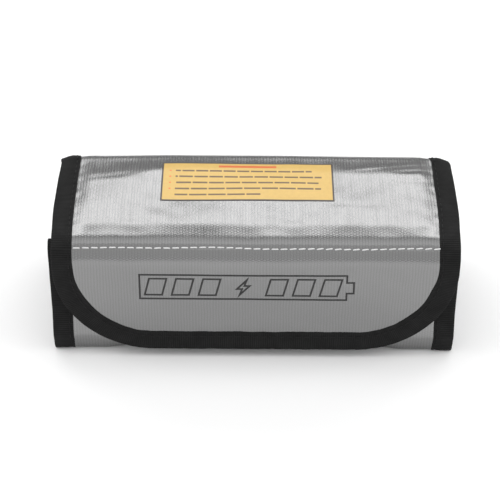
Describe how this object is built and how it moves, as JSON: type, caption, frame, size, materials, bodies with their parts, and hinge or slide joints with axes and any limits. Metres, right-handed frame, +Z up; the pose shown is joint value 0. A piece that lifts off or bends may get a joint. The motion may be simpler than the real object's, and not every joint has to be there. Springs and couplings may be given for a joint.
{
  "type": "fire-resistant battery pouch",
  "caption": "Box-shaped silver glass-cloth pouch for charging and storing model batteries, with black bound edges and a lid that folds into a rounded front flap.",
  "frame": {"origin": "middle of the base, on the surface the pouch stands on", "axes": "+X along the pouch's length, -Y towards the front with the flap, +Z up"},
  "size_m": [0.185, 0.079, 0.0636],
  "materials": {
    "silver_cloth": "metal-coated woven glass cloth, semi-gloss",
    "glass_felt": "loose needled glass felt",
    "lining_cloth": "plain woven glass cloth",
    "binding_tape": "ribbed woven tape, matte",
    "black_thread": "twisted thread",
    "white_thread": "twisted thread",
    "loop_tape": "brushed loop pile",
    "hook_tape": "rows of moulded hooks",
    "label_film": "printed film, satin"
  },
  "bodies": {
    "pouch": {"pouch_shell": "silver_cloth", "pouch_felt": "glass_felt", "pouch_lining": "lining_cloth", "front_mouth_binding": "binding_tape", "front_mouth_stitching": "black_thread", "loop_strip": "loop_tape", "loop_stitching": "black_thread", "left_end_shell": "silver_cloth", "left_end_felt": "glass_felt", "left_end_lining": "lining_cloth", "left_end_binding": "binding_tape", "left_end_stitching": "black_thread", "left_mouth_binding": "binding_tape", "right_end_shell": "silver_cloth", "right_end_felt": "glass_felt", "right_end_lining": "lining_cloth", "right_end_binding": "binding_tape", "right_end_stitching": "black_thread", "right_mouth_binding": "binding_tape"},
    "lid": {"lid_shell": "silver_cloth", "lid_felt": "glass_felt", "lid_lining": "lining_cloth", "lid_left_binding": "binding_tape", "lid_right_binding": "binding_tape", "lid_left_stitching": "black_thread", "lid_right_stitching": "black_thread", "crease_stitching": "white_thread", "label": "label_film"},
    "flap": {"flap_shell": "silver_cloth", "flap_felt": "glass_felt", "flap_lining": "lining_cloth", "flap_binding": "binding_tape", "flap_stitching": "black_thread", "hook_strip": "hook_tape", "hook_stitching": "black_thread"}
  },
  "joints": [
    {"name": "lid_hinge", "type": "hinge", "parent": "pouch", "child": "lid", "pos_m": [0, 0.03651, 0.06051], "axis": [-1, 0, 0], "range_deg": [0, 175]},
    {"name": "flap_fold", "type": "hinge", "parent": "lid", "child": "flap", "pos_m": [0, -0.03621, 0.06021], "axis": [-1, 0, 0], "range_deg": [0, 120]}
  ]
}
